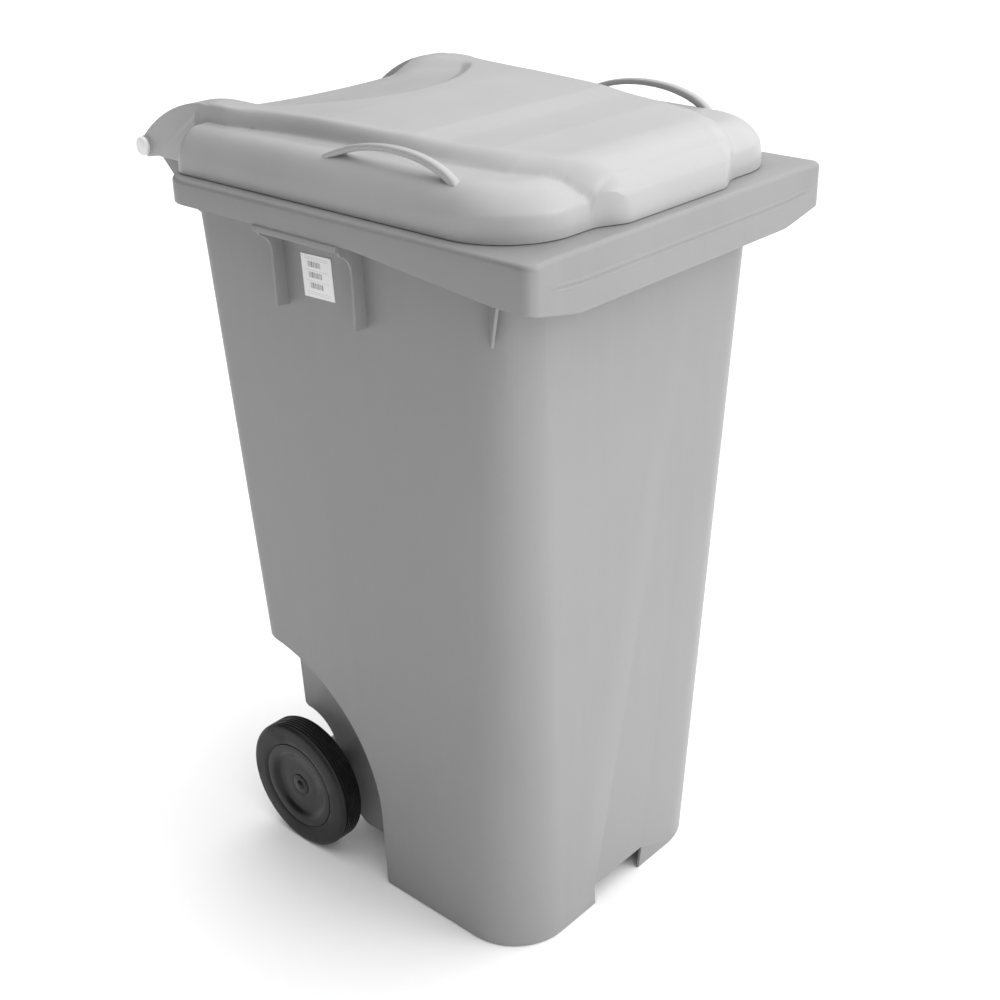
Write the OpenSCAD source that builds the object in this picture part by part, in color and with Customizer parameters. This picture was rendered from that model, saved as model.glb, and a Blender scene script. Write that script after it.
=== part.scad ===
// 240-litre two-wheeled bin with a lid that hinges on two pins at the back.
// Millimetres, +Z up, front faces -Y, origin on the ground at the middle of the footprint box.

/* [Tub] */
// Width across the rim
rim_w = 566; // [550:1:580]
// Depth of the rim, front to back
rim_d = 610; // [600:1:620]
// Height of the rim's top above the ground
rim_h = 1019; // [1000:1:1040]
// Width of the tub just under the rim
tub_top_w = 492; // [480:1:500]
// Width of the tub at the ground
tub_base_w = 426; // [410:1:440]
// Wall thickness of the tub
wall = 4; // [3:0.5:5]
// Height of the tub's floor above the ground
floor_z = 42; // [36:1:50]

/* [Lid] */
// Width of the lid where it meets the rim
lid_w = 530; // [520:1:540]
// Height of the lid above the rim
lid_h = 81; // [70:1:85]
// Wall thickness of the lid
lid_wall = 3.5; // [3:0.5:4]
// Length of the lid's carrying loops, foot to foot
loop_len = 172; // [140:1:190]

/* [Hinge] */
// Distance of the hinge axis behind the rim's front face
hinge_back = 712; // [708:1:716]
// Height of the hinge axis above the ground
hinge_z = 1029; // [1026:1:1032]
// Diameter of the hinge pins
pin_d = 16; // [14:1:18]

/* [Wheels] */
// Diameter of the wheels
wheel_d = 200; // [190:1:205]
// Width of a wheel's tread
tread_w = 39; // [34:1:42]
// Distance of the axle behind the rim's front face
axle_back = 511; // [508:1:514]
// Diameter of the axle
axle_d = 20; // [18:1:22]

/* [Hidden] */

hinge_reach = 16;                          // radius of the hinge bosses
body_d = hinge_back + hinge_reach;         // whole depth, rim front to hinge boss
slab = 0.2;                                // thickness of the thin slices that hull() joins
eps = 1;                                   // overlap of a cut past a face
running = 0.06;                            // radial clearance of a running fit
skirt_t = 3.5;                             // thickness of the rim's skirt
flange_t = 4;                              // thickness of the rim's top
side_skirt_z = rim_h - 32;                 // lower edge of the side skirt, rear half
corner_skirt_z = rim_h - 53;               // lower edge of the side skirt at the front
front_skirt_z = rim_h - 69;                // lower edge of the front skirt
band_z = rim_h - 36;                       // step between the front skirt's two bands
band_step = 2.5;                           // how far the lower band stands proud
well_x = 162;                              // inner wall of the wheel wells
well_r = 226;                              // radius of the wheel arches
well_back = 566;                           // centre of the arches
well_z = 123;                              // height of that centre
foot_back = 340;                           // rear face of the front foot
notch_w = 112;                             // notch under the front wall
notch_h = 38;
arm_x = 168;                               // inner face of the handle arms
arm_t = 30;                                // thickness of the handle arms
ear_x = 200;                               // inner face of the lid's ears
ear_t = 22;                                // thickness of the lid's ears
lid_z = rim_h + 1;                         // lower edge of the lid
lid_top = rim_h + lid_h;
lid_rear = 604;                            // rear edge of the lid at its foot
loop_x = 235;                              // middle of the carrying loops
loop_front = 139;                          // front foot of the carrying loops
axle_z = wheel_d / 2;
wheel_out = 228;                           // outer face of the tyres
hub_in = wheel_out - tread_w;
clip_x = 210;                              // middle of the retaining clips
bush_r = axle_d / 2 + 4;

// Moves a shape drawn from the rim's front face to the frame's origin
module placed() translate([0, -body_d / 2, 0]) children();
// Extrudes a (y, z) outline along X from x0 to x1
module along_x(x0, x1) translate([x0, 0, 0]) rotate([90, 0, 90]) linear_extrude(x1 - x0) children();
// A thin horizontal slice of an outline at height z
module slice(z) translate([0, 0, z]) linear_extrude(slab) children();
// Cylinder along X between x0 and x1
module rod(x0, x1, r, r2 = -1) translate([x0, 0, 0]) rotate([0, 90, 0])
    cylinder(h = x1 - x0, r1 = r, r2 = r2 < 0 ? r : r2, $fn = 64);
// Puts a shape for the right side (+X) on the side given by s
module on_side(s) mirror([s < 0 ? 1 : 0, 0, 0]) children();

// Points of an arc
function arc(cx, cy, r, a0, a1, n = 8) =
    [for (i = [0 : n]) let (a = a0 + (a1 - a0) * i / n) [cx + r * cos(a), cy + r * sin(a)]];
// Rounded outline of half-width hw from y0 to y1; rf and rb round its front and back corners
function outline(hw, y0, y1, rf, rb) = concat(
    arc(hw - rb, y1 - rb, rb, 0, 90), arc(rb - hw, y1 - rb, rb, 90, 180),
    arc(rf - hw, y0 + rf, rf, 180, 270), arc(hw - rf, y0 + rf, rf, 270, 360));
function mix(a, b, t) = a + (b - a) * t;

// ---- tub ----

// The tub's horizontal section at height z, drawn in by inset
module tub_section(z, inset) {
    t = z / rim_h;
    polygon(outline(mix(tub_base_w, tub_top_w, t) / 2 - inset, mix(82, 56, t) + inset,
                    mix(545, 605, t) - inset, mix(86, 57, t) - inset, 33 - inset));
}

module tub_solid(z0, z1, inset) hull() {
    slice(z0) tub_section(z0, inset);
    slice(z1 - slab) tub_section(z1, inset);
}

// The room for the two wheels, its walls moved out by grow
module wheel_wells(grow) for (s = [-1, 1]) on_side(s) along_x(well_x - grow, rim_w) {
    translate([well_back, well_z]) circle(r = well_r + grow, $fn = 128);
    translate([foot_back - grow, -wall]) square([rim_d, well_z + wall]);
}

// The raised underside behind the foot and between the wells, moved up by grow
module tail_room(grow) along_x(-well_x - eps, well_x + eps) translate([-grow, grow])
    polygon(concat([[rim_d + 50, -wall], [foot_back, -wall], [foot_back, 30]],
                   arc(426, 60, 30, 270, 335, 4), arc(558, 136, 58, 188, 90, 8), [[rim_d + 50, 194]]));

module tub_inside() difference() {
    tub_solid(floor_z, rim_h + eps, wall);
    wheel_wells(wall);
    tail_room(wall);
}

// The hollow under the floor, inside the foot
module foot_hollow() intersection() {
    tub_solid(-eps, floor_z - wall, wall);
    translate([-rim_w / 2, 0, -eps]) cube([rim_w, foot_back - wall, rim_h]);
}

module rim_section(inset) polygon(outline(rim_w / 2 - inset, inset, rim_d - inset, 15 - inset, 45 - inset));

// What is cut away under the skirt's lower edge, as seen from the side and from the front
module skirt_trim() {
    along_x(-rim_w, rim_w) polygon([[20, 0], [20, corner_skirt_z], [49, corner_skirt_z], [270, side_skirt_z],
                                    [rim_d + 50, side_skirt_z], [rim_d + 50, 0]]);
    for (s = [-1, 1]) on_side(s) translate([0, 30, 0]) rotate([90, 0, 0]) linear_extrude(50)
        polygon([[rim_w / 2 - 60, 0], [rim_w / 2 - 60, front_skirt_z], [rim_w / 2, corner_skirt_z],
                 [rim_w, corner_skirt_z], [rim_w, 0]]);
}

module rim() difference() {
    hull() {
        slice(front_skirt_z) rim_section(0);
        slice(rim_h - 6) rim_section(0);
        slice(rim_h - 2) rim_section(1.6);
        slice(rim_h - slab) rim_section(5);
    }
    translate([0, 0, front_skirt_z - eps]) linear_extrude(rim_h - flange_t - front_skirt_z + eps)
        rim_section(skirt_t);
    translate([0, 0, band_z]) linear_extrude(rim_h)
        polygon([[-rim_w / 2 + 20, -eps], [-rim_w / 2 + 45, band_step], [rim_w / 2 - 45, band_step],
                 [rim_w / 2 - 20, -eps]]);
    skirt_trim();
}

// Ledge and two hanging ribs on the side, where a lifting comb can bear
module side_ribs() {
    along_x(rim_w / 2 - skirt_t, rim_w / 2 + 2) translate([288, side_skirt_z - 8]) square([142, 8]);
    for (y = [288, 426]) translate([0, y + 4, 0]) rotate([90, 0, 0]) linear_extrude(4)
        polygon(concat([[235, 878], [261, 878], [262, 940]], arc(302, 940, 40, 180, 118, 6),
                       [[rim_w / 2 - 1, side_skirt_z], [rim_w / 2 - 1, rim_h - 2], [235, rim_h - 2]]));
}

// Thin web between the skirt's front corner and the tub
module corner_gusset() translate([rim_w / 2 - 3, 47, 0]) rotate([0, 0, 132]) rotate([90, 0, 0])
    translate([0, 0, -wall / 2]) linear_extrude(wall)
        polygon([[0, rim_h - 2], [0, corner_skirt_z], [10, corner_skirt_z - 6], [52, 903], [66, 903], [66, rim_h - 2]]);

// Plates that carry the axle behind the tub
module axle_lug() along_x(126, well_x - 4) {
    translate([axle_back, axle_z]) circle(r = 26, $fn = 64);
    polygon([[440, 44], [455, 33], [axle_back, axle_z - 26], [axle_back + 26, axle_z], [axle_back + 26, 172],
             [500, 172]]);
}

// Arm from the rim to the hinge pin, and its stiffening foot on the rear wall
module handle_arm() along_x(arm_x, arm_x + arm_t) {
    translate([hinge_back, hinge_z]) circle(r = hinge_reach, $fn = 64);
    polygon(concat([[598, rim_h - 2], [598, rim_h - 79], [612, rim_h - 79]], arc(612, 1030, 90, 270, 333, 6),
                   [[hinge_back + 15, hinge_z - 5], [hinge_back - 4, hinge_z + 15], [626, rim_h - 2]]));
}

module tub() color("#b9babc") placed() difference() {
    union() {
        difference() {
            tub_solid(0, rim_h, 0);
            wheel_wells(0);
            tail_room(0);
            foot_hollow();
        }
        rim();
        for (s = [-1, 1]) on_side(s) {
            side_ribs();
            corner_gusset();
            axle_lug();
            handle_arm();
        }
        translate([0, hinge_back - 12, hinge_z - 23]) rod(-arm_x - eps, arm_x + eps, 15);
    }
    tub_inside();
    translate([-notch_w / 2, 0, -eps]) cube([notch_w, 160, notch_h + eps]);
    for (s = [-1, 1]) on_side(s) {
        translate([0, hinge_back, hinge_z]) rod(arm_x + 6, arm_x + arm_t + eps, pin_d / 2);
        translate([0, axle_back, axle_z]) rod(120, well_x, bush_r);
    }
}

// ---- lid ----

// Raised middle of the lid with its long front slope, drawn in by inset
module lid_plateau(inset) hull() {
    translate([0, 0, -inset]) {
        slice(lid_top - 4) polygon(outline(183 - inset, 230 + inset, 606 - inset, 40, 20));
        slice(lid_top - slab) polygon(outline(176 - inset, 300 + inset, 596 - inset, 40, 20));
        slice(lid_top - 24) polygon(outline(150 - inset, 62 + inset, 612 - inset, 40, 16));
    }
    slice(lid_z - (inset > 0 ? eps : 0)) polygon(outline(165 - inset, 21 + inset, lid_rear - inset, 50, 16));
}

// Rounded side bulges and the base that joins them
module lid_cheeks(inset) {
    hull() {
        slice(lid_z - (inset > 0 ? eps : 0)) polygon(outline(lid_w / 2 - inset, 38 + inset, lid_rear - inset, 95, 24));
        translate([0, 0, -inset]) {
            slice(lid_z + 24) polygon(outline(lid_w / 2 - 3 - inset, 44 + inset, lid_rear + 3 - inset, 92, 24));
            slice(lid_z + 42) polygon(outline(lid_w / 2 - 14 - inset, 66 + inset, lid_rear + 6 - inset, 80, 24));
            slice(lid_z + 54) polygon(outline(lid_w / 2 - 30 - inset, 140 + inset, 600 - inset, 70, 24));
            slice(lid_z + 58) polygon(outline(lid_w / 2 - 50 - inset, 240 + inset, 590 - inset, 40, 20));
        }
    }
}

// Ear that reaches back from the lid to the hinge pin
module lid_ear() along_x(ear_x, ear_x + ear_t) {
    boss_r = hinge_reach - 1;
    translate([hinge_back, hinge_z]) circle(r = boss_r, $fn = 64);
    polygon(concat([[560, lid_z + 2], [560, lid_top - 1]], arc(567, lid_top - 220, 219, 84, 44, 8),
                   [[hinge_back + 12, hinge_z + 9], [hinge_back, hinge_z - boss_r], [690, lid_z - 2],
                    [642, lid_z - 2], [620, lid_z + 2]]));
}

module lid() color("#cfd0d2") placed() difference() {
    union() {
        lid_plateau(0);
        lid_cheeks(0);
        for (s = [-1, 1]) on_side(s) lid_ear();
        for (s = [-1, 1]) on_side(s) translate([0, hinge_back, hinge_z]) rod(ear_x - 0.5, ear_x + ear_t + 1.5, 13.5);
    }
    difference() {
        union() {
            lid_plateau(lid_wall);
            lid_cheeks(lid_wall);
        }
        // the recess at the back keeps its own floor
        translate([-109 - lid_wall, 500 - lid_wall, lid_top - 20 - lid_wall]) cube([218 + 2 * lid_wall, 200, 60]);
    }
    // hand recess in the top, open to the back
    translate([-109, 500, lid_top - 20]) cube([218, 200, 60]);
    for (s = [-1, 1]) on_side(s) translate([0, hinge_back, hinge_z])
        rod(ear_x - 2, ear_x + ear_t + 4, pin_d / 2 + running);
}

// Arched carrying loop with two spread feet, on top of a lid side
module lid_handle(s) color("#c4c5c7") placed() on_side(s)
    translate([loop_x, loop_front + loop_len / 2, lid_z]) rotate([2.5, 0, 0]) {
        rise = 78;                         // top of the loop above the lid's lower edge
        foot = 48;                         // where its feet meet the lid's surface
        half = loop_len / 2;
        bow = (half * half + pow(rise - foot, 2)) / 2 / (rise - foot);
        intersection() {
            rotate([0, 90, 0]) rotate([0, 0, 90]) translate([0, 0, -5.5]) difference() {
                translate([0, rise - bow, 0]) cylinder(h = 11, r = bow, $fn = 128);
                translate([0, rise - bow - 7, -eps]) cylinder(h = 11 + 2 * eps, r = bow - 1, $fn = 128);
            }
            translate([-20, -half, foot - 6]) cube([40, loop_len, 60]);
        }
        for (f = [-1, 1]) translate([0, f * (half - 7), foot - 4])
            cylinder(h = 13, r1 = 10, r2 = 6, $fn = 32);
    }
module lid_handle_left() lid_handle(-1);
module lid_handle_right() lid_handle(1);

// ---- hinge pins ----

module hinge_pin(s) color("#f2f2ef") placed() on_side(s) translate([0, hinge_back, hinge_z]) {
    rod(arm_x + 6, ear_x + ear_t + 2.5, pin_d / 2);
    // domed head outside the ear's collar
    translate([ear_x + ear_t + 2, 0, 0]) rotate([0, 90, 0]) intersection() {
        cylinder(h = 6.5, r = pin_d / 2 + 4.5, $fn = 64);
        translate([0, 0, -9]) sphere(r = pin_d, $fn = 64);
    }
}
module hinge_pin_left() hinge_pin(-1);
module hinge_pin_right() hinge_pin(1);

// ---- axle and wheels ----

module at_axle() placed() translate([0, axle_back, axle_z]) children();

module axle() color("#9a9c9e") at_axle() {
    end = clip_x + 6;
    difference() {
        rod(-end, end, axle_d / 2);
        for (s = [-1, 1]) on_side(s) difference() {
            rod(clip_x - 1, clip_x + 1, axle_d);
            rod(clip_x - 2, clip_x + 2, axle_d / 2 - 1.5);
        }
    }
}

module axle_bush(s) color("#2e2f31") at_axle() on_side(s) difference() {
    union() {
        rod(126, well_x - 4, bush_r);
        rod(well_x - 4, well_x + 2, bush_r + 5);
    }
    rod(120, well_x + 8, axle_d / 2);
}
module axle_bush_left() axle_bush(-1);
module axle_bush_right() axle_bush(1);

module spacer(s) color("#2e2f31") at_axle() on_side(s) difference() {
    rod(well_x + 2, hub_in - 1, axle_d / 2 + 5);
    rod(well_x, hub_in, axle_d / 2);
}
module spacer_left() spacer(-1);
module spacer_right() spacer(1);

// Moulded wheel centre: a bored boss, a dished web and the rim that the tyre grips
module hub(s) color("#1d1d1f") at_axle() on_side(s) rotate([0, 90, 0]) difference() {
    rotate_extrude($fn = 96) polygon([
        [axle_d / 2 + running, hub_in], [22, hub_in], [22, 202], [62, 200], [62, hub_in + 4], [68, hub_in + 2],
        [68, wheel_out - 2], [55, wheel_out - 1], [46, wheel_out - 6], [17, wheel_out - 6], [17, clip_x - 4],
        [axle_d / 2 + running, clip_x - 4]]);
}
module hub_left() hub(-1);
module hub_right() hub(1);

// Solid tyre with grooves round its tread
module tyre(s) color("#161617") at_axle() on_side(s) rotate([0, 90, 0]) rotate_extrude($fn = 128) {
    groove_n = 6;
    pitch = (tread_w - 8) / groove_n;
    r = wheel_d / 2;
    polygon(concat(
        [[68, hub_in + 2], [r - 5, hub_in], [r - 1.5, hub_in + 2]],
        [for (i = [0 : groove_n - 1], p = [0 : 3])
            [r - (p == 1 || p == 2 ? 1.8 : 0), hub_in + 4 + pitch * (i + [0.3, 0.42, 0.58, 0.7][p])]],
        [[r - 1.5, wheel_out - 2], [r - 5, wheel_out], [68, wheel_out - 2]]));
}
module tyre_left() tyre(-1);
module tyre_right() tyre(1);

module hub_cap(s) color("#1d1d1f") at_axle() on_side(s) rotate([0, 90, 0]) rotate_extrude($fn = 64)
    polygon([[0, wheel_out - 9], [16.9, wheel_out - 9], [16.9, wheel_out - 6], [15, wheel_out - 4.5],
             [6.5, wheel_out - 4.5], [5.5, wheel_out - 2.5], [3, wheel_out - 1.5], [0, wheel_out - 1.2]]);
module hub_cap_left() hub_cap(-1);
module hub_cap_right() hub_cap(1);

// Open spring ring in the axle's groove
module retaining_clip(s) color("#b0b2b4") at_axle() on_side(s) difference() {
    rod(clip_x - 0.8, clip_x + 0.8, axle_d / 2 + 4);
    rod(clip_x - 2, clip_x + 2, axle_d / 2 - 1.5);
    translate([clip_x - 2, -5, 0]) cube([4, 10, axle_d]);
}
module retaining_clip_left() retaining_clip(-1);
module retaining_clip_right() retaining_clip(1);

// Paper label on the left side wall, between the ribs
module label() color("#efefed") placed() {
    lean = atan((tub_top_w - tub_base_w) / 2 / rim_h);
    skin = mix(tub_base_w, tub_top_w, 898 / rim_h) / 2;
    translate([-skin - 0.35, 341, 898]) rotate([0, -lean, 0]) rotate([2, 0, 0])
        translate([-0.3, 0, 0]) cube([0.6, 53, 54]);
}

tub();
lid();
lid_handle_left();
lid_handle_right();
hinge_pin_left();
hinge_pin_right();
axle();
axle_bush_left();
axle_bush_right();
spacer_left();
spacer_right();
hub_left();
hub_right();
tyre_left();
tyre_right();
hub_cap_left();
hub_cap_right();
retaining_clip_left();
retaining_clip_right();
label();
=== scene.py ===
# A two-wheeled 240-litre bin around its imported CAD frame: lid, tub, wheels and label in detail.
import math

import bmesh
import bpy
import numpy as np
from mathutils import Matrix, Vector


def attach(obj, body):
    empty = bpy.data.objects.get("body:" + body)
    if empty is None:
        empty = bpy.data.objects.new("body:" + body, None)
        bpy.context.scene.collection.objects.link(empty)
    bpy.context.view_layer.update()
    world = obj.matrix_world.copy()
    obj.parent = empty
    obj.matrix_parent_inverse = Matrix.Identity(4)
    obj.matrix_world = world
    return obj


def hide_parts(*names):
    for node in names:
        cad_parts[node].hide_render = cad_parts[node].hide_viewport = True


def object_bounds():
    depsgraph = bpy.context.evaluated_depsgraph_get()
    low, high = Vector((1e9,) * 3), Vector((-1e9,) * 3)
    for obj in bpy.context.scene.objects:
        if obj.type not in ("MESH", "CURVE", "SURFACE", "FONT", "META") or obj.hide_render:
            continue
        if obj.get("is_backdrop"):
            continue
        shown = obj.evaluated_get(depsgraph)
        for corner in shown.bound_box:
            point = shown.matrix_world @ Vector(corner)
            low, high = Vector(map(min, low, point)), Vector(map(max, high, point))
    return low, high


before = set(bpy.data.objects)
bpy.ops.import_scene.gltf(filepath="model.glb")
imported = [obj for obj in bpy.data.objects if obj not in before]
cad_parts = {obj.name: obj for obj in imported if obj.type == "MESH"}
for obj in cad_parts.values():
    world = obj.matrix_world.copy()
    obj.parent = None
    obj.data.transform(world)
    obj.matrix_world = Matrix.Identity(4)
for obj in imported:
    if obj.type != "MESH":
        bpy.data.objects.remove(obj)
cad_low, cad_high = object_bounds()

MM = 0.001
TAU = 2 * math.pi
BACK_SHIFT = cad_low.y                      # the rim's front face, in the frame; depths count from it

# ---- driving sizes, in millimetres, with depths counted back from the rim's front face ----

HALF_W = 283                                # half the rim's width
RIM_D = 610                                 # depth of the rim
RIM_H = 1019                                # top of the rim
BASE_HALF, TOP_HALF = 213, 246              # half-width of the tub at the ground and under the rim
BASE_FRONT, TOP_FRONT = 82, 56              # depth of the tub's front wall, at the ground and under the rim
BASE_BACK, TOP_BACK = 545, 605
BASE_R, TOP_R = 86, 57                      # front corner radius
BACK_R = 33
WALL = 4                                    # thickness of the tub's wall
SKIRT_T, SKIRT_LOW = 3.5, 950               # thickness of the rim's skirt, and its lowest edge
FLOOR_Z = 42                                # upper side of the tub's floor
FOOT_BACK = 340                             # where the front foot ends
WELL_X, WELL_R = 162, 226                   # inner wall of the wheel wells, and their arch
WELL_CENTRE = (566, 123)                    # (depth, height) of that arch
RIB_T, RIB_DEPTHS = 4, (288, 426)           # ribs on each side wall
HINGE = (712, 1029)                         # (depth, height) of the lid's pins
AXLE = (511, 100)                           # (depth, height) of the wheels' axle
LUG_X = 126                                 # inner face of the axle's lugs
GRIP, GRIP_R = (700, 1006), 15              # (depth, height) and radius of the handle bar
ARM_X, ARM_T = 168, 30                      # inner face and thickness of the hinge arms
PIN_R = 8                                   # radius of the hinge pins
LID_Z = RIM_H + 1                           # lower edge of the lid
LID_HALF, LID_FRONT, LID_BACK = 265, 38, 606
LID_WALL = 3.4
FRONT_R, REAR_R = 95, 26                    # corner radii of the lid
NOSE = 18                                   # how far the raised middle stands forward of the side bulges
LEAN = 13                                   # how far the lid's back wall leans back at the top
EAR_X, EAR_T = 200, 22                      # inner face and thickness of the lid's ears
EAR_BACK_D, EAR_BACK_R = 567, 219           # where the back edge starts to fall, and the radius it falls with
LOOP_X = 235                                # middle of the carrying loops
WHEEL_R, WHEEL_OUT, TREAD = 100, 228, 39    # radius, outer face and width of the tyres
WHEEL_IN = WHEEL_OUT - TREAD
LABEL_BACK, LABEL_LOW = 394, 898            # rear and lower edge of the label
LABEL_W, LABEL_H, LABEL_T = 53, 54, 0.5


def point(x, depth, z):
    """A place given by its distance behind the rim's front face, in the frame's metres."""
    return Vector((x * MM, depth * MM + BACK_SHIFT, z * MM))


def smooth(t):
    """Eases from 0 to 1 as t does, for a number or an array."""
    t = np.clip(t, 0, 1)
    return t * t * (3 - 2 * t)


def mix(a, b, t):
    return a + (b - a) * t


def value_at(pairs, t):
    """Value at t on straight stretches through (t, value) pairs."""
    if t <= pairs[0][0]:
        return pairs[0][1]
    for (a, va), (b, vb) in zip(pairs, pairs[1:]):
        if t <= b:
            return mix(va, vb, (t - a) / (b - a))
    return pairs[-1][1]


def arc(cx, cy, r, a0, a1, n=8):
    """Points on a circle from angle a0 to a1, in degrees."""
    return [(cx + r * math.cos(math.radians(a0 + (a1 - a0) * i / n)),
             cy + r * math.sin(math.radians(a0 + (a1 - a0) * i / n))) for i in range(n + 1)]


# ---- mesh helpers ----

def new_object(name, verts, faces):
    mesh = bpy.data.meshes.new(name)
    mesh.from_pydata(verts, [], faces)
    mesh.validate()
    obj = bpy.data.objects.new(name, mesh)
    bpy.context.scene.collection.objects.link(obj)
    tidy_normals(obj)
    return obj


def tidy_normals(obj):
    """Turns every face outwards."""
    bm = bmesh.new()
    bm.from_mesh(obj.data)
    bmesh.ops.recalc_face_normals(bm, faces=bm.faces)
    bm.to_mesh(obj.data)
    bm.free()


def apply_modifiers(obj):
    """Bakes the modifiers into the mesh."""
    dg = bpy.context.evaluated_depsgraph_get()
    mesh = bpy.data.meshes.new_from_object(obj.evaluated_get(dg))
    obj.modifiers.clear()
    old = obj.data
    obj.data = mesh
    bpy.data.meshes.remove(old)
    return obj


def boolean(obj, other, operation):
    """Joins or cuts obj by other, which goes away."""
    m = obj.modifiers.new("cut", "BOOLEAN")
    m.operation = operation
    m.solver = "EXACT"
    m.object = other
    apply_modifiers(obj)
    bpy.data.objects.remove(other)
    return obj


def bevel(obj, width, segments=3, angle=35):
    """Rounds the edges sharper than angle by width millimetres."""
    m = obj.modifiers.new("edge", "BEVEL")
    m.width = width * MM
    m.segments = segments
    m.limit_method = "ANGLE"
    m.angle_limit = math.radians(angle)
    m.use_clamp_overlap = True
    return apply_modifiers(obj)


def shade(obj, angle=38):
    """Smooth shading that keeps edges sharper than angle."""
    for p in obj.data.polygons:
        p.use_smooth = True
    bm = bmesh.new()
    bm.from_mesh(obj.data)
    limit = math.radians(angle)
    for e in bm.edges:
        if len(e.link_faces) == 2:
            e.smooth = e.calc_face_angle(0) < limit
    bm.to_mesh(obj.data)
    bm.free()
    return obj


def dissolve_flat(obj, angle=0.4):
    """Merges faces that lie in one plane."""
    bm = bmesh.new()
    bm.from_mesh(obj.data)
    bmesh.ops.dissolve_limit(bm, angle_limit=math.radians(angle), verts=bm.verts, edges=bm.edges)
    bm.to_mesh(obj.data)
    bm.free()
    return obj


def loft(name, rings):
    """Closed skin over rings of points, all of the same length, with both ends capped."""
    n = len(rings[0])
    verts = [v for ring in rings for v in ring]
    faces = []
    for r in range(len(rings) - 1):
        for i in range(n):
            j = (i + 1) % n
            faces.append((r * n + i, r * n + j, (r + 1) * n + j, (r + 1) * n + i))
    faces.append(tuple(range(n))[::-1])
    faces.append(tuple((len(rings) - 1) * n + i for i in range(n)))
    return new_object(name, verts, faces)


def closed_sweep(name, sections):
    """Skin over closed sections, where the last section joins the first."""
    count, n = len(sections), len(sections[0])
    faces = []
    for i in range(count):
        k = (i + 1) % count
        for j in range(n):
            m = (j + 1) % n
            faces.append((i * n + j, k * n + j, k * n + m, i * n + m))
    return new_object(name, [v for section in sections for v in section], faces)


def plate(name, outline, x0, x1, edge=0.0, segments=3):
    """A (depth, height) outline extruded across from x0 to x1, with its edges rounded."""
    obj = loft(name, [[point(x, d, z) for d, z in outline] for x in (x0, x1)])
    return bevel(obj, edge, segments) if edge else obj


def lathe(name, profile, x_sign, centre, segments=96):
    """(distance out, radius) profile turned about an axis along X through centre."""
    rings = []
    for i in range(segments):
        a = TAU * i / segments
        rings.append([point(x_sign * x, centre[0] + r * math.cos(a), centre[1] + r * math.sin(a))
                      for x, r in profile])
    obj = closed_sweep(name, rings)
    bm = bmesh.new()
    bm.from_mesh(obj.data)
    bmesh.ops.remove_doubles(bm, verts=bm.verts, dist=1e-6)
    bmesh.ops.recalc_face_normals(bm, faces=bm.faces)
    bm.to_mesh(obj.data)
    bm.free()
    return obj


def rounded(points, r, n=4):
    """Rounds the corners of a closed (a, b) outline by about r."""
    out = []
    for i, corner in enumerate(points):
        p, a, b = Vector(corner), Vector(points[i - 1]), Vector(points[(i + 1) % len(points)])
        la, lb = (a - p).length, (b - p).length
        cut = min(r, 0.45 * la, 0.45 * lb)
        s, e = p + (a - p) * cut / la, p + (b - p) * cut / lb
        for k in range(n + 1):
            t = k / n
            q = s * (1 - t) ** 2 + p * 2 * t * (1 - t) + e * t ** 2
            out.append(tuple(q))
    return out


# ---- materials ----

class Nodes:
    """Short hand for building a material's node tree."""

    def __init__(self, name):
        self.material = bpy.data.materials.new(name)
        self.material.use_nodes = True
        self.tree = self.material.node_tree
        self.shader = self.tree.nodes["Principled BSDF"]
        coords = self.tree.nodes.new("ShaderNodeTexCoord")
        self.place = coords.outputs["Object"]

    def add(self, kind, values=(), **links):
        node = self.tree.nodes.new(kind)
        for key, value in dict(values).items():
            if key in node.inputs:
                node.inputs[key].default_value = value
            else:
                setattr(node, key, value)
        for key, source in links.items():
            self.tree.links.new(source, node.inputs[key.replace("_", " ")])
        return node

    def scaled(self, scale):
        node = self.add("ShaderNodeMapping")
        node.inputs["Scale"].default_value = scale
        self.tree.links.new(self.place, node.inputs["Vector"])
        return node.outputs["Vector"]

    def noise(self, scale, detail=4, stretch=(1, 1, 1), roughness=0.55):
        node = self.add("ShaderNodeTexNoise", {"Scale": scale, "Detail": detail, "Roughness": roughness})
        self.tree.links.new(self.scaled(stretch), node.inputs["Vector"])
        return node.outputs["Fac"]

    def ramp(self, source, low, high, a=0.0, b=1.0):
        node = self.add("ShaderNodeMapRange", {"From Min": low, "From Max": high, "To Min": a, "To Max": b})
        self.tree.links.new(source, node.inputs["Value"])
        return node.outputs["Result"]

    def maths(self, operation, a, b):
        node = self.add("ShaderNodeMath")
        node.operation = operation
        for i, v in enumerate((a, b)):
            if isinstance(v, (int, float)):
                node.inputs[i].default_value = v
            else:
                self.tree.links.new(v, node.inputs[i])
        return node.outputs[0]

    def blend(self, factor, a, b):
        node = self.add("ShaderNodeMix")
        node.data_type = "RGBA"
        for socket, v in ((node.inputs[0], factor), (node.inputs[6], a), (node.inputs[7], b)):
            if isinstance(v, (int, float)):
                socket.default_value = v
            elif isinstance(v, tuple):
                socket.default_value = (*v, 1)
            else:
                self.tree.links.new(v, socket)
        return node.outputs[2]

    def bump(self, height, distance, strength=1.0, under=None):
        node = self.add("ShaderNodeBump", {"Distance": distance, "Strength": strength})
        self.tree.links.new(height, node.inputs["Height"])
        if under is not None:
            self.tree.links.new(under, node.inputs["Normal"])
        return node.outputs["Normal"]

    def finish(self, color, roughness, normal=None, shine=0.5):
        self.shader.inputs["Specular IOR Level"].default_value = shine
        self.tree.links.new(color, self.shader.inputs["Base Color"])
        self.tree.links.new(roughness, self.shader.inputs["Roughness"])
        if normal is not None:
            self.tree.links.new(normal, self.shader.inputs["Normal"])
        return self.material


def grey(v, warm=0.0):
    """A grey of value v, a little warmer than neutral if asked."""
    return (v * (1 + warm), v, v * (1 - warm))


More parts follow.
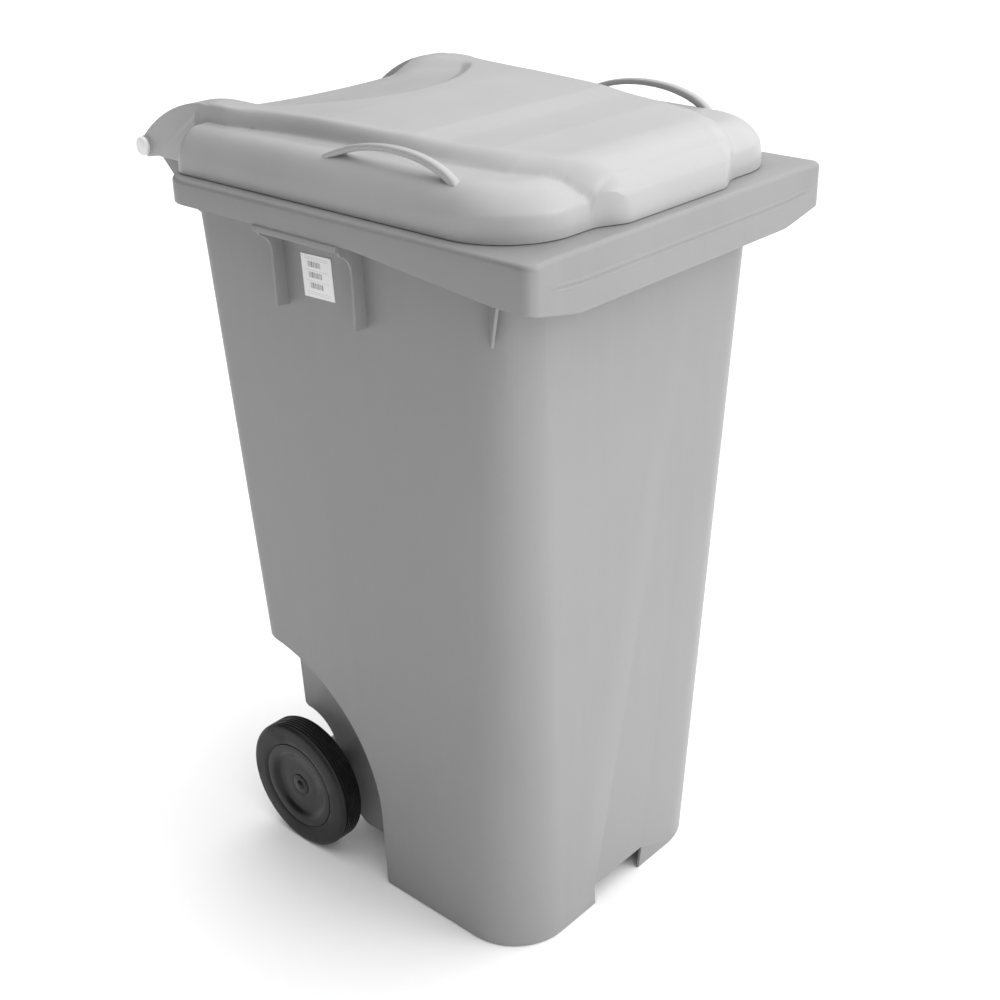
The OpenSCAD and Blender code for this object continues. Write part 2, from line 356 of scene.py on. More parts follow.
def moulded_plastic(name, tone, rough=0.42, grain=0.00012, streaks=0.04):
    """Injection-moulded polyethylene: faint cloudiness, flow streaks, fine grain and light scuffs."""
    n = Nodes(name)
    clouds = n.ramp(n.noise(3.0, 3), 0.35, 0.65)
    flow = n.ramp(n.noise(9.0, 4, stretch=(6, 6, 0.8)), 0.35, 0.7)
    specks = n.ramp(n.noise(420, 2), 0.60, 0.75)
    scuff = n.ramp(n.noise(38, 6, stretch=(1, 1, 3), roughness=0.7), 0.62, 0.72)
    base = n.blend(clouds, grey(tone * (1 - streaks)), grey(tone * (1 + streaks)))
    base = n.blend(n.maths("MULTIPLY", flow, 0.35), base, grey(tone * 1.06))
    base = n.blend(n.maths("MULTIPLY", specks, 0.18), base, grey(tone * 0.72))
    base = n.blend(n.maths("MULTIPLY", scuff, 0.16), base, grey(min(1, tone * 1.25)))
    worn = n.maths("ADD", n.ramp(clouds, 0, 1, rough - 0.03, rough + 0.05), n.maths("MULTIPLY", scuff, 0.10))
    fine = n.bump(n.noise(900, 3), grain, 0.5)
    normal = n.bump(n.noise(14, 3), 0.0009, 0.35, under=fine)
    return n.finish(base, worn, normal)


def tyre_rubber():
    """Black rubber with a little dust."""
    n = Nodes("tyre_rubber")
    dust = n.ramp(n.noise(30, 6, roughness=0.7), 0.48, 0.75)
    base = n.blend(n.maths("MULTIPLY", dust, 0.3), grey(0.010), grey(0.05, 0.02))
    rough = n.ramp(dust, 0, 1, 0.40, 0.70)
    return n.finish(base, rough, n.bump(n.noise(650, 4), 0.00025, 0.7), 0.26)


def hub_plastic():
    """Black moulded plastic, smoother than the rubber."""
    n = Nodes("hub_plastic")
    dust = n.ramp(n.noise(46, 5, roughness=0.7), 0.52, 0.72)
    base = n.blend(n.maths("MULTIPLY", dust, 0.25), grey(0.008), grey(0.05, 0.015))
    rough = n.ramp(dust, 0, 1, 0.28, 0.52)
    return n.finish(base, rough, n.bump(n.noise(380, 3), 0.0002, 0.6), 0.3)


def pin_plastic():
    n = Nodes("pin_plastic")
    tint = n.ramp(n.noise(60, 4), 0.4, 0.7)
    base = n.blend(tint, grey(0.86), grey(0.74, 0.012))
    return n.finish(base, n.ramp(tint, 0, 1, 0.32, 0.46), n.bump(n.noise(700, 2), 0.0001, 0.5))


def zinc_steel(name, tone, rough):
    n = Nodes(name)
    drawn = n.noise(90, 5, stretch=(0.08, 1, 1))
    spots = n.ramp(n.noise(140, 5), 0.55, 0.8)
    base = n.blend(drawn, grey(tone * 0.85), grey(tone * 1.1))
    base = n.blend(n.maths("MULTIPLY", spots, 0.4), base, grey(tone * 0.5, 0.05))
    n.shader.inputs["Metallic"].default_value = 1.0
    return n.finish(base, n.ramp(spots, 0, 1, rough, rough + 0.2), n.bump(drawn, 0.0002, 0.4))


def label_paper(low, high):
    """White film with three groups of upright bars and faint rules, set out across the label's own box."""
    n = Nodes("label_paper")
    split = n.add("ShaderNodeSeparateXYZ")
    n.tree.links.new(n.place, split.inputs[0])
    across = n.ramp(split.outputs["Y"], high.y, low.y)
    up = n.ramp(split.outputs["Z"], low.z, high.z)
    stripes = n.add("ShaderNodeTexNoise", {"Scale": 1.0, "Detail": 0})
    stripes.noise_dimensions = "1D"
    n.tree.links.new(n.maths("MULTIPLY", across, 60.0), stripes.inputs["W"])
    bars = n.maths("GREATER_THAN", stripes.outputs["Fac"], 0.5)

    def between(value, a, b):
        return n.maths("MULTIPLY", n.maths("GREATER_THAN", value, a), n.maths("LESS_THAN", value, b))

    groups = None
    for row, left in ((0.70, 0.20), (0.46, 0.22), (0.22, 0.24)):
        cell = n.maths("MULTIPLY", between(up, row, row + 0.13), between(across, left, left + 0.42))
        groups = cell if groups is None else n.maths("MAXIMUM", groups, cell)
    ink = n.maths("MULTIPLY", bars, groups)
    for row in (0.91, 0.865, 0.625, 0.385, 0.13, 0.085):
        rule = n.maths("MULTIPLY", between(up, row, row + 0.014), between(across, 0.12, 0.86))
        ink = n.maths("MAXIMUM", ink, n.maths("MULTIPLY", rule, 0.30))
    fibre = n.ramp(n.noise(500, 4), 0.3, 0.7)
    paper = n.blend(fibre, grey(0.82), grey(0.90))
    color = n.blend(n.maths("MULTIPLY", ink, 0.85), paper, grey(0.06))
    return n.finish(color, n.ramp(fibre, 0, 1, 0.5, 0.62), n.bump(n.noise(260, 3), 0.0001, 0.5))


def paint(obj, material):
    obj.data.materials.clear()
    obj.data.materials.append(material)


tub_plastic = moulded_plastic("tub_plastic", 0.24)
# the lid is the tub's grey plastic painted lighter (0.375 against 0.24): painted light for the stronger light
# that falls on the lid's top
lid_plastic_painted_lighter = moulded_plastic("lid_plastic_painted_lighter", 0.375, rough=0.32, streaks=0.05)
bush_plastic = moulded_plastic("bush_plastic", 0.05, rough=0.4)


# ---- outlines of the tub and rim ----

def outline(hw, y0, y1, rf, rb, corner=14, step=14):
    """Rounded rectangle as (x, depth) points, the same number for every size."""
    corners = [(hw - rb, y1 - rb, rb, 0), (rb - hw, y1 - rb, rb, 90),
               (rf - hw, y0 + rf, rf, 180), (hw - rf, y0 + rf, rf, 270)]
    between = [int(2 * HALF_W / step), int(RIM_D / step)]
    points = []
    for i, (cx, cy, r, a0) in enumerate(corners):
        turn = arc(cx, cy, r, a0, a0 + 90, corner)
        nx, ny, nr, na = corners[(i + 1) % 4]
        end = (nx + nr * math.cos(math.radians(na)), ny + nr * math.sin(math.radians(na)))
        points += turn
        n = between[i % 2]
        points += [(mix(turn[-1][0], end[0], k / n), mix(turn[-1][1], end[1], k / n)) for k in range(1, n)]
    return points


def tub_outline(z, inset=0.0):
    """The tub's level outline at height z."""
    t = z / RIM_H
    return outline(mix(BASE_HALF, TOP_HALF, t) - inset, mix(BASE_FRONT, TOP_FRONT, t) + inset,
                   mix(BASE_BACK, TOP_BACK, t) - inset, mix(BASE_R, TOP_R, t) - inset, BACK_R - inset)


def tub_ring(z, inset=0.0):
    return [point(x, d, z) for x, d in tub_outline(z, inset)]


def wells(grow):
    """Cutters for the room of the two wheels."""
    profile = arc(*WELL_CENTRE, WELL_R + grow, 0, 180, 48)
    profile += [(FOOT_BACK - grow, WELL_CENTRE[1] - 4), (FOOT_BACK - grow, -10),
                (WELL_CENTRE[0] + WELL_R, -10)]
    return [plate("well", profile, s * (WELL_X - grow), s * 340) for s in (-1, 1)]


def tail(grow):
    """Cutter for the raised underside behind the foot."""
    profile = [(700, -20), (FOOT_BACK, -20), (FOOT_BACK, 30)] + arc(426, 60, 30, 270, 335, 6)
    profile += arc(551, 131, 62, 188, 90, 12) + [(560, 200), (700, 200)]
    return plate("tail", [(d - grow, z + grow) for d, z in profile], -WELL_X - 1, WELL_X + 1)


def skirt_bottom(x, d):
    """Height of the rim skirt's lower edge."""
    side = value_at([(20, 966), (49, 966), (270, 987), (700, 987)], d)
    front = value_at([(203, 950), (HALF_W, 966)], abs(x))
    return mix(front, side, smooth((d - 4) / 22))


def rim_ring_mesh():
    """The rim's top band and hanging skirt, swept round as one closed moulding."""
    outer = outline(HALF_W, 0, RIM_D, 15, 45)
    inner = tub_outline(RIM_H, WALL + 0.4)
    count = len(outer)
    sections = []
    for i, (x, d) in enumerate(outer):
        before, after = Vector(outer[i - 1]), Vector(outer[(i + 1) % count])
        along = (after - before).normalized()
        normal = Vector((along.y, -along.x))
        low = skirt_bottom(x, d)
        bead = smooth((262 - abs(x)) / 26) * (1 if d < 3 else 0)

        def place(depth_in, z):
            return point(x - normal.x * depth_in, d - normal.y * depth_in, z)

        top = RIM_H - 6.5
        levels = [(SKIRT_LOW, 0.9), (951, 0.1), (953, 0.0), (977, 0.0), (978.5, -0.35 * bead),
                  (980.5, -0.35 * bead), (981.6, bead), (983.4, 1.5 * bead), (984.6, 0.7 * bead),
                  (986.4, 0.8 * bead), (988, 2.2 * bead), (990, 2.5 * bead), (top, 2.5 * bead)]
        ring = [place(inset, mix(low, top, (z - SKIRT_LOW) / (top - SKIRT_LOW))) for z, inset in levels]
        for a in (22, 45, 68, 90):
            ring.append(place(2.5 * bead + 6 * (1 - math.cos(math.radians(a))),
                              top + 6.5 * math.sin(math.radians(a))))
        q = Vector(inner[i])
        lip = Vector((x, d)) - q
        reach = lip.length
        lip = lip / reach
        for out, z in ((min(3, reach * 0.5), RIM_H), (1.0, RIM_H - 0.5), (0, RIM_H - 2), (0, RIM_H - 5)):
            ring.append(point(q.x + lip.x * out, q.y + lip.y * out, z))
        ring.append(place(SKIRT_T + 3 if reach > 14 else SKIRT_T, RIM_H - 5))
        ring.append(place(SKIRT_T, RIM_H - 8))
        ring.append(place(SKIRT_T, low + 1.5))
        ring.append(place(SKIRT_T - 0.6, low))
        sections.append(ring)
    return closed_sweep("rim", sections)


def tub_shell():
    """The tub without its rim: hollow above the floor and inside the foot, with the wells cut out."""
    levels = [(0, 3.0), (1.2, 1.0), (4, 0.0)] + [(z, 0.0) for z in range(100, 1000, 100)] + [(RIM_H - 2, 0.0)]
    shell = loft("tub_moulding", [tub_ring(z, inset) for z, inset in levels])
    inside = loft("inside", [tub_ring(z, WALL) for z in (FLOOR_Z, RIM_H + 5)])
    for cutter in wells(WALL) + [tail(WALL)]:
        boolean(inside, cutter, "DIFFERENCE")
    hollow = loft("hollow", [tub_ring(z, WALL) for z in (-5, FLOOR_Z - WALL)])
    foot_end = FOOT_BACK - WALL
    keep = plate("keep", [(0, -20), (foot_end, -20), (foot_end, 100), (0, 100)], -300, 300)
    boolean(hollow, keep, "INTERSECT")
    notch = loft("notch", [[point(x, d, z) for x, z in rounded(
        [(-50, -10), (-56, 38), (56, 38), (50, -10)], 3)] for d in (20, 160)])
    for cutter in wells(0) + [tail(0), hollow, inside, notch]:
        boolean(shell, cutter, "DIFFERENCE")
    dissolve_flat(shell)
    return bevel(shell, 1.3, 2, angle=42)


def side_rib(s, d0):
    """Hanging rib on the side wall, with its flare out to the skirt."""
    profile = [(232, 878), (260, 880), (261, 948)] + arc(285, 950, 24, 172, 108, 6)
    profile += [(282, 980), (282, 1016), (232, 1016)]
    rib = loft("rib", [[point(s * x, d, z) for x, z in profile] for d in (d0, d0 + RIB_T)])
    return bevel(rib, 1.0, 2)


def ledge(s):
    """Strip along the skirt between the two ribs."""
    profile = rounded([(279, 979), (285.5, 979.5), (285, 987), (279, 988)], 1.2, 3)
    ends = (RIB_DEPTHS[0] - 1, RIB_DEPTHS[1] + RIB_T + 1)
    return loft("ledge", [[point(s * x, d, z) for x, z in profile] for d in ends])


def corner_gusset(s):
    """Thin web between the skirt's corner and the tub's rounded corner."""
    turn, half_thick = math.radians(50), 1.8
    start, along = Vector((280, 47)), Vector((-math.cos(turn), math.sin(turn)))
    across = Vector((-along.y, along.x)) * half_thick
    profile = [(0, 1016), (0, 966), (8, 961), (50, 903), (62, 903), (62, 1016)]
    rings = []
    for side in (-1, 1):
        places = [(start + along * u + across * side, z) for u, z in profile]
        rings.append([point(s * spot.x, spot.y, z) for spot, z in places])
    return bevel(loft("gusset", rings), 0.8, 2)


def axle_lug(s):
    """Lug behind the foot that carries the axle."""
    profile = [(440, 44), (455, 33)] + arc(*AXLE, 26, 250, 360, 10) + [(537, 128), (522, 138), (488, 142)]
    return plate("lug", profile, s * LUG_X, s * (WELL_X - WALL), 2)


def handle_arm(s):
    """Arm from the rim back to the hinge pin."""
    profile = [(598, RIM_H - 3), (598, 940), (612, 940)] + arc(612, 1030, 90, 280, 330, 8)
    profile += arc(*HINGE, 16, -45, 100, 12) + [(626, RIM_H - 3)]
    return plate("arm", profile, s * ARM_X, s * (ARM_X + ARM_T), 3)


def tub_moulding():
    """The whole tub in one piece: shell, rim, ribs, gussets, lugs, arms and handle bar."""
    tub = tub_shell()
    boolean(tub, rim_ring_mesh(), "UNION")
    for s in (-1, 1):
        for d in RIB_DEPTHS:
            boolean(tub, side_rib(s, d), "UNION")
        boolean(tub, ledge(s), "UNION")
        boolean(tub, corner_gusset(s), "UNION")
        boolean(tub, axle_lug(s), "UNION")
        arm = handle_arm(s)
        bore = lathe("bore", [(ARM_X + 6, 0), (ARM_X + 6, PIN_R), (ARM_X + 40, PIN_R), (ARM_X + 40, 0)],
                     s, HINGE, 48)
        boolean(arm, bore, "DIFFERENCE")
        boolean(tub, arm, "UNION")
    bar = [(x, GRIP_R) for x in range(-160, 161, 20)]
    bar = [(-174, 0), (-174, GRIP_R + 0.5)] + bar + [(174, GRIP_R + 0.5), (174, 0)]
    grip = lathe("grip", bar, 1, GRIP, 48)
    boolean(tub, grip, "UNION")
    for s in (-1, 1):
        seat = lathe("seat", [(120, 0), (120, 14), (170, 14), (170, 0)], s, AXLE, 48)
        boolean(tub, seat, "DIFFERENCE")
    return shade(tub)


# ---- lid ----

def lid_outline():
    """The lid's foot on the rim, with the raised middle standing a little further forward."""
    points = outline(LID_HALF, LID_FRONT, LID_BACK, FRONT_R, REAR_R, corner=30, step=6)
    return [(x, d - NOSE * smooth((138 - abs(x)) / 50) if d < 60 else d) for x, d in points]


def quarter(t, p):
    """Rises from 0 to 1 with a steep start, like a quarter of an oval with power p."""
    t = np.clip(t, 0, 1)
    return (1 - (1 - t) ** p) ** (1 / p)


def leaning(d):
    """How much of the back wall's lean counts at depth d."""
    return LEAN * smooth((d - 540) / 60)


def edge_distance(a, d):
    """How far a place lies inside the rounded rectangle of the lid's foot."""
    middle, half_d = (LID_FRONT + LID_BACK) / 2, (LID_BACK - LID_FRONT) / 2
    r = np.where(d < middle, FRONT_R, REAR_R)
    qx, qd = a - LID_HALF + r, np.abs(d - middle) - half_d + r
    return r - np.hypot(np.maximum(qx, 0), np.maximum(qd, 0)) - np.minimum(np.maximum(qx, qd), 0)


def raised_middle(a, d):
    """Height of the lid's raised middle, which narrows and falls towards the front."""
    half = np.interp(d, [20, 65, 120, 200, 300, 420, 520, 540], [140, 152, 180, 194, 204, 210, 220, 222.4])
    fall = np.interp(d, [20, 120, 300, 520], [50, 44, 26, 15])
    tx, ty = (half - a) / fall, (d - LID_FRONT + NOSE) / 46
    corner = np.sqrt(np.clip(1 - tx, 0, None) ** 2 + np.clip(1 - ty, 0, None) ** 2)
    rise = np.interp(d, [20, 65, 121, 157, 265, 400, 620], [51, 54, 60, 66, 76, 80, 80])
    behind = np.clip(d + leaning(d) - EAR_BACK_D, 0, None)
    rise = rise - 1.2 * (EAR_BACK_R - np.sqrt(EAR_BACK_R ** 2 - behind ** 2))
    domed = rise * (1 - np.clip(corner, 0, 1) ** 2.4) ** (1 / 2.4)
    edge = 6                                # at the back the sides stand upright, with this rounding
    upright = rise - edge + np.sqrt(edge ** 2 - (edge - np.clip(half - a, 0, edge)) ** 2)
    upright *= smooth(1 + (half - a) / 8)
    return domed + (upright - domed) * smooth((d - 440) / 110)


def hand_recess(a, d):
    """Depth of the bowed recess along the back edge, between the ears."""
    front_edge = 428 + 58 * (np.minimum(a, 190) / 165) ** 2.2
    sunk = 6 * smooth((d - front_edge) / 24) + 15 * np.clip((d - front_edge) / 170, 0, 1)
    return sunk * smooth((194 - a) / np.interp(d, [500, 620], [30, 78]))


def lid_height(x, d):
    """Height of the lid's outer skin over its foot, in millimetres, for arrays of places."""
    a = np.abs(x)
    reach = np.interp(d, [50, 110, 220, 400], [54, 50, 46, 40])
    bulge_top = np.interp(d, [38, 85, 130, 200, 320, 600], [47, 50.5, 52.5, 55, 57, 58])
    bulge = bulge_top * quarter(edge_distance(a, d) / reach, 2.2)
    middle = raised_middle(a, d)
    blend = np.interp(d, [40, 120, 220, 400], [36, 29, 13, 7])
    blend = blend * np.clip(np.maximum(bulge, middle) / 18, 0, 1)
    height = 0.5 * (bulge + middle + np.sqrt((bulge - middle) ** 2 + blend ** 2)) - hand_recess(a, d)
    return height * quarter((LID_BACK + 1 - d) / 9 + 0.02, 2.2)


def lid_skin():
    """The lid's curved wall: the height field over rings that shrink to the centre, given a thickness."""
    foot = np.array(lid_outline())
    count, steps = len(foot), 110
    centre = np.array([0, 330])
    shrink = [1 - (k / steps) ** 1.55 for k in range(steps)]
    rows = []
    for k, s in enumerate(shrink):
        place = centre + (foot - centre) * s
        x, d = place[:, 0], place[:, 1]
        h = lid_height(x, d) if k else np.zeros(count)
        lean = leaning(d) * h / 60 * smooth((214 - np.abs(x)) / 10)
        rows.append([point(p[0], p[1] + l, LID_Z + z) for p, l, z in zip(place, lean, h)])
    middle = point(0, 330, LID_Z + float(lid_height(np.array([0.0]), np.array([330.0]))[0]))
    verts = [v for row in rows for v in row] + [middle]
    faces = []
    for k in range(steps - 1):
        for i in range(count):
            j = (i + 1) % count
            faces.append((k * count + i, k * count + j, (k + 1) * count + j, (k + 1) * count + i))
    for i in range(count):
        faces.append(((steps - 1) * count + i, (steps - 1) * count + (i + 1) % count, len(verts) - 1))
    skin = new_object("lid_moulding", verts, faces)
    normals = [v.normal.copy() for v in skin.data.vertices]
    if normals[-1].z < 0:
        normals = [-n for n in normals]
    outer = [v.co.copy() for v in skin.data.vertices]
    inner = []
    for i, (v, n) in enumerate(zip(outer, normals)):
        inward = Vector((n.x, n.y, 0)).normalized() if i < count else n
        w = v - inward * LID_WALL * MM
        w.z = max(w.z, LID_Z * MM)
        inner.append(w)
    total = len(outer)
    body = faces + [tuple(total + i for i in reversed(f)) for f in faces]
    body += [(i, total + i, total + (i + 1) % count, (i + 1) % count) for i in range(count)]
    bpy.data.objects.remove(skin)
    return new_object("lid_moulding", outer + inner, body)


def lid_ear(s):
    """Ear from the lid's back edge down to the hinge pin, with a raised collar."""
    profile = [(560, 1050), (566, 1090), (574, 1098)] + arc(EAR_BACK_D, 881, EAR_BACK_R, 86, 45, 14)[1:]
    profile += arc(*HINGE, 15, 25, -95, 10) + [(690, 1018), (642, 1018), (622, 1022), (596, 1030)]
    ear = plate("ear", profile, s * EAR_X, s * (EAR_X + EAR_T - 0.2), 6, 5)
    face, bore_r = EAR_X + EAR_T + 1.6, PIN_R + 0.1
    collar = lathe("collar", [(EAR_X + 2, 0), (EAR_X + 2, 13), (face - 0.6, 13), (face, 12.4), (face, 0)],
                   s, HINGE, 48)
    boolean(ear, collar, "UNION")
    bore = lathe("bore", [(EAR_X - 5, 0), (EAR_X - 5, bore_r), (EAR_X + 40, bore_r), (EAR_X + 40, 0)],
                 s, HINGE, 48)
    return boolean(ear, bore, "DIFFERENCE")


def lid_moulding():
    """The whole lid in one piece: skin and both ears."""
    lid = lid_skin()
    for s in (-1, 1):
        boolean(lid, lid_ear(s), "UNION")
    return shade(lid, 42)


def spline(path, steps=6):
    """Points on a smooth curve through the places of path."""
    last, points = len(path) - 1, []
    for i in range(last):
        p0, p1, p2, p3 = (Vector(path[max(0, min(last, i + o))]) for o in (-1, 0, 1, 2))
        for k in range(steps):
            t = k / steps
            points.append(0.5 * (2 * p1 + (p2 - p0) * t + (2 * p0 - 5 * p1 + 4 * p2 - p3) * t ** 2
                                 + (3 * p1 - p0 - 3 * p2 + p3) * t ** 3))
    return points + [Vector(path[-1])]


def carrying_loop(s, name):
    """Arched strap with two spread feet that run into the lid."""
    path = spline([(344, 52), (330, 57.5), (313, 63.5), (294, 69), (270, 73.2), (244, 75), (216, 74),
                   (192, 70.4), (170, 64.0), (153, 55.5), (142, 45), (137, 34)])
    rings, last, around = [], len(path) - 1, 20
    for i, p in enumerate(path):
        t = i / last
        along = (path[min(last, i + 1)] - path[max(0, i - 1)]).normalized()
        up = Vector((-along.y, along.x))
        up = up if up.y > 0 or abs(up.y) < 1e-6 else -up
        flare = smooth((0.22 - t) / 0.22) + smooth((t - 0.84) / 0.16)
        wide, thick = 6.4 + 3.0 * flare, 3.9 + 1.6 * smooth((t - 0.3) / 0.6)
        ring = []
        for k in range(around):
            c, w = math.cos(TAU * k / around), math.sin(TAU * k / around)
            side = math.copysign(abs(c) ** 0.7, c) * wide
            lift = math.copysign(abs(w) ** 0.7, w) * thick
            spot = p + up * lift
            ring.append(point(s * (LOOP_X + side), spot.x, LID_Z + spot.y))
        rings.append(ring)
    return shade(loft(name, rings), 60)


# ---- wheels and small parts ----

def tyre_piece(s, name):
    """Solid tyre: grooved tread, rounded shoulders, flat walls."""
    tread = []
    grooves, shoulder = 6, 5
    pitch = (TREAD - 2 * shoulder) / grooves
    for i in range(grooves):
        x = WHEEL_IN + shoulder + pitch * i
        tread += [(x + pitch * part, WHEEL_R - deep) for part, deep in
                  ((0.22, 0), (0.30, 2.6), (0.50, 3.2), (0.70, 2.6), (0.78, 0))]
    wall = [(2, 68.5), (0.4, 71), (0, 78), (0, 92), (0.8, 95.8), (2.6, 98.6), (shoulder, WHEEL_R - 0.2)]
    profile = [(WHEEL_IN + x, r) for x, r in wall] + tread + [(WHEEL_OUT - x, r) for x, r in reversed(wall)]
    return shade(lathe(name, profile, s, AXLE, 128), 50)


def hub_piece(s, name):
    """Moulded centre: outer ring, stepped dish, flat disc and a bored boss."""
    inner = [(0, 10.1), (0, 21), (1, 22), (13, 22.5), (13, 58), (11, 60), (5, 61), (4, 62.5), (2.2, 67.8)]
    outer = [(2.4, 68.4), (1.2, 67.6), (0.9, 65), (1.0, 57), (1.6, 54.6), (4.4, 50.5), (6.4, 47.2), (7, 45.5),
             (6.6, 30), (6.0, 19), (6.3, 17.2), (7, 17), (22, 17), (22, 10.1)]
    profile = [(WHEEL_IN + x, r) for x, r in inner] + [(WHEEL_OUT - x, r) for x, r in outer]
    return shade(lathe(name, profile, s, AXLE, 128), 40)


def cap_piece(s, name):
    """Cap over the axle's end, with a small nub."""
    profile = [(9, 0), (9, 16.4), (8.5, 16.9), (6.2, 16.8), (5.2, 15.6), (4.8, 13), (4.7, 7.6), (4.2, 6.8),
               (2.6, 6.0), (1.6, 4.4), (1.25, 2.2), (1.2, 0)]
    return shade(lathe(name, [(WHEEL_OUT - x, r) for x, r in profile], s, AXLE, 64), 50)


def pin_piece(s, name):
    """Hinge pin with a domed head."""
    head, tip = EAR_X + EAR_T + 2.2, ARM_X + 7
    dome = [(head + 3.2 + 3.2 * math.sin(math.radians(a)), 8.9 + 3.4 * math.cos(math.radians(a)))
            for a in (0, 20, 40, 60, 80)]
    profile = [(tip, 0), (tip, PIN_R - 0.8), (tip + 0.8, PIN_R), (head, PIN_R), (head, 11.8)]
    profile += [(head + 0.6, 12.3)] + dome + [(head + 6.4, 6), (head + 6.6, 3), (head + 6.6, 0)]
    return shade(lathe(name, profile, s, HINGE, 64), 50)


def label_piece():
    """Thin film that follows the side wall, turned a little out of square."""
    cols, rows = 14, 14
    verts, faces = [], []
    for layer in (0, 1):
        for r in range(rows + 1):
            for c in range(cols + 1):
                u, v = c / cols, r / rows
                d = LABEL_BACK - LABEL_W * u + 1.2 * (v - 0.5)
                z = LABEL_LOW + LABEL_H * v + 1.6 * (u - 0.5)
                wall = mix(BASE_HALF, TOP_HALF, z / RIM_H)
                curl = 50 * max(0, u - 0.9) * max(0, v - 0.9)
                verts.append(point(-(wall + 0.1 + layer * LABEL_T + curl), d, z))
    row, total = cols + 1, (cols + 1) * (rows + 1)
    for r in range(rows):
        for c in range(cols):
            i = r * row + c
            faces.append((i, i + 1, i + 1 + row, i + row))
            faces.append((total + i, total + i + row, total + i + 1 + row, total + i + 1))
    edge = list(range(cols)) + [cols + r * row for r in range(rows)]
    edge += [rows * row + c for c in range(cols, 0, -1)] + [r * row for r in range(rows, 0, -1)]
    for i, a in enumerate(edge):
        b = edge[(i + 1) % len(edge)]
        faces.append((a, b, total + b, total + a))
    return shade(new_object("label_film", verts, faces), 60)


# ---- the pieces, on their bodies ----

def fit(piece, body, slot, material, *nodes):
    """Paints a piece, hangs it on the body it rides and hides the nodes it stands for."""
    paint(piece, material)
    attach(piece, body)
    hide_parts(*nodes)
    return piece


rubber, hub_black = tyre_rubber(), hub_plastic()
white_pin = pin_plastic()
fit(tub_moulding(), "tub_body", "tub", tub_plastic, "tub")
fit(lid_moulding(), "lid_body", "lid", lid_plastic_painted_lighter, "lid")
label = label_piece()
low = Vector([min(v.co[i] for v in label.data.vertices) for i in range(3)])
high = Vector([max(v.co[i] for v in label.data.vertices) for i in range(3)])
fit(label, "tub_body", "label", label_paper(low, high), "label")
for side, s in (("left", -1), ("right", 1)):
    wheel = "wheel_" + side
    fit(carrying_loop(s, "carrying_loop_" + side), "lid_body", "lid", lid_plastic_painted_lighter, "lid_handle_" + side)
    fit(pin_piece(s, "pin_" + side), "tub_body", "pin", white_pin, "hinge_pin_" + side)
    fit(tyre_piece(s, "grooved_tyre_" + side), wheel, "tyre", rubber, "tyre_" + side)
    fit(hub_piece(s, "wheel_centre_" + side), wheel, "hub", hub_black, "hub_" + side)
    fit(cap_piece(s, "axle_cap_" + side), wheel, "hub", hub_black, "hub_cap_" + side)
    paint(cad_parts["axle_bush_" + side], bush_plastic)
    paint(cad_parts["spacer_" + side], bush_plastic)
zinc = zinc_steel("zinc_steel", 0.55, 0.32)
spring = zinc_steel("spring_steel", 0.62, 0.25)
paint(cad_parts["axle"], zinc)
for side in ("left", "right"):
    paint(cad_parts["retaining_clip_" + side], spring)


# ---- stage, light and camera ----

def stage_floor(half=30):
    """Pale floor, half metres to each side."""
    corners = [(-half, -half), (half, -half), (half, half), (-half, half)]
    floor = new_object("floor", [Vector((x, y, 0)) for x, y in corners], [(0, 1, 2, 3)])
    n = Nodes("pale_floor")
    color = n.blend(n.noise(2, 3), grey(0.93), grey(0.96))
    paint(floor, n.finish(color, n.ramp(n.noise(4, 2), 0, 1, 0.6, 0.7)))
    floor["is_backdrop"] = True


def area_light(name, place, target, size, power):
    light = bpy.data.lights.new(name, "AREA")
    light.shape = "SQUARE"
    light.size = size
    light.energy = power
    obj = bpy.data.objects.new(name, light)
    bpy.context.scene.collection.objects.link(obj)
    obj.location = place
    obj.rotation_euler = (Vector(target) - Vector(place)).to_track_quat("-Z", "Y").to_euler()


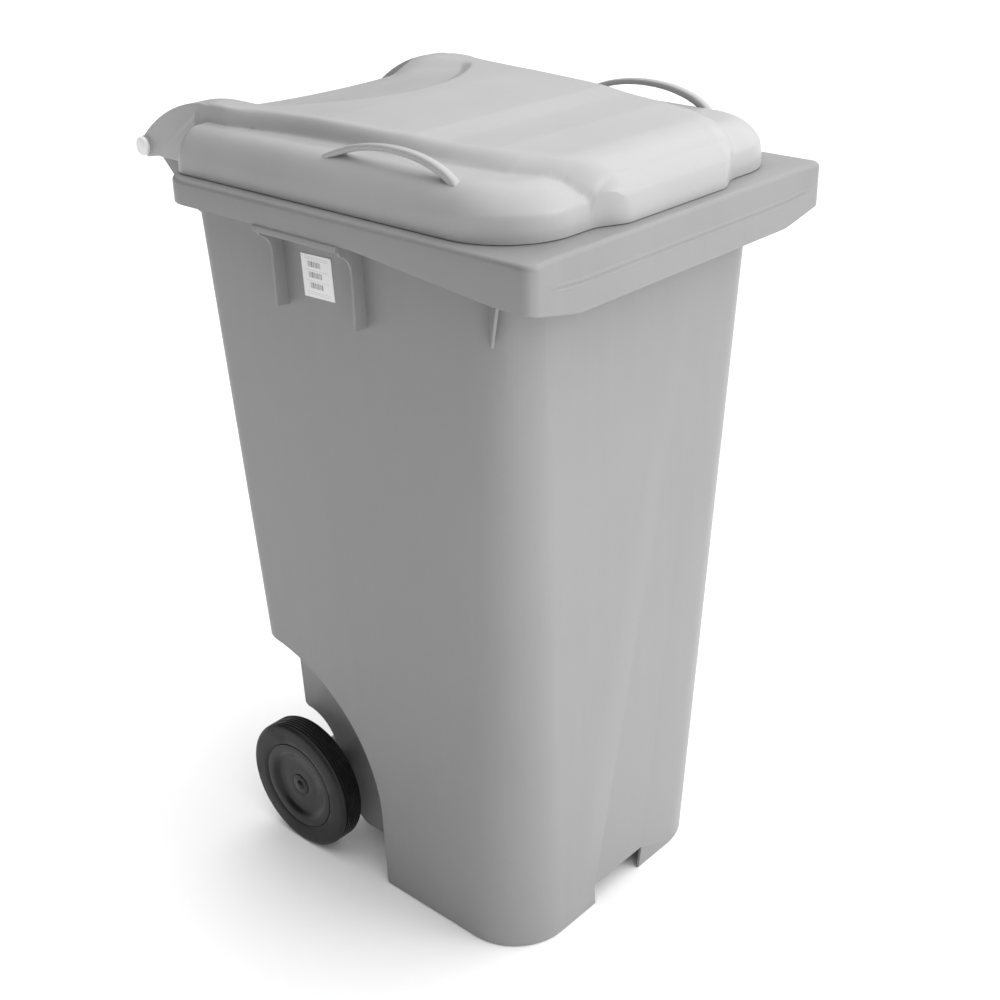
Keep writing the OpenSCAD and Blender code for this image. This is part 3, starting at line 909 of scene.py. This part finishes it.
def soft_world(toward, dim, bright):
    """A round studio of soft light: bright on the side named by toward, dim opposite."""
    world = bpy.data.worlds.new("studio")
    world.use_nodes = True
    tree = world.node_tree
    coords = tree.nodes.new("ShaderNodeTexCoord")
    dot = tree.nodes.new("ShaderNodeVectorMath")
    dot.operation = "DOT_PRODUCT"
    dot.inputs[1].default_value = Vector(toward).normalized()
    level = tree.nodes.new("ShaderNodeMapRange")
    level.interpolation_type = "SMOOTHSTEP"
    level.inputs["From Min"].default_value = 0.0
    level.inputs["From Max"].default_value = 1.0
    level.inputs["To Min"].default_value = dim
    level.inputs["To Max"].default_value = bright
    tree.links.new(coords.outputs["Generated"], dot.inputs[0])
    tree.links.new(dot.outputs["Value"], level.inputs["Value"])
    tree.links.new(level.outputs["Result"], tree.nodes["Background"].inputs["Strength"])
    tree.nodes["Background"].inputs["Color"].default_value = (1, 1, 1, 1)
    bpy.context.scene.world = world


def camera(azimuth, elevation, roll, distance, target, lens):
    """Camera that looks at target from azimuth and elevation, tipped by roll degrees."""
    a, e, r = (math.radians(v) for v in (azimuth, elevation, roll))
    back = Vector((math.sin(a) * math.cos(e), -math.cos(a) * math.cos(e), math.sin(e)))
    right = (-back).cross(Vector((0, 0, 1))).normalized()
    up = right.cross(-back)
    tilted = math.cos(r) * right + math.sin(r) * up
    turned = -math.sin(r) * right + math.cos(r) * up
    data = bpy.data.cameras.new("camera")
    data.lens = lens
    data.sensor_width = 36
    data.clip_end = 100
    obj = bpy.data.objects.new("camera", data)
    bpy.context.scene.collection.objects.link(obj)
    matrix = Matrix((tilted, turned, back)).transposed().to_4x4()
    matrix.translation = Vector(target) + back * distance
    obj.matrix_world = matrix
    bpy.context.scene.camera = obj


stage_floor()
soft_world((0.42, -0.30, 0.86), 0.02, 2.3)
area_light("key", (1.2, -3.2, 2.4), (0, 0, 0.6), 1.6, 26)
area_light("side_fill", (-0.9, -1.5, 0.5), (-0.2, -0.3, 0.5), 0.7, 3)
bpy.context.scene.view_settings.view_transform = "Standard"
camera(-48.1, 26.3, -0.9, 2.0505, (-0.018, -0.0803, 0.5703), 54.2)

low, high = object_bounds()
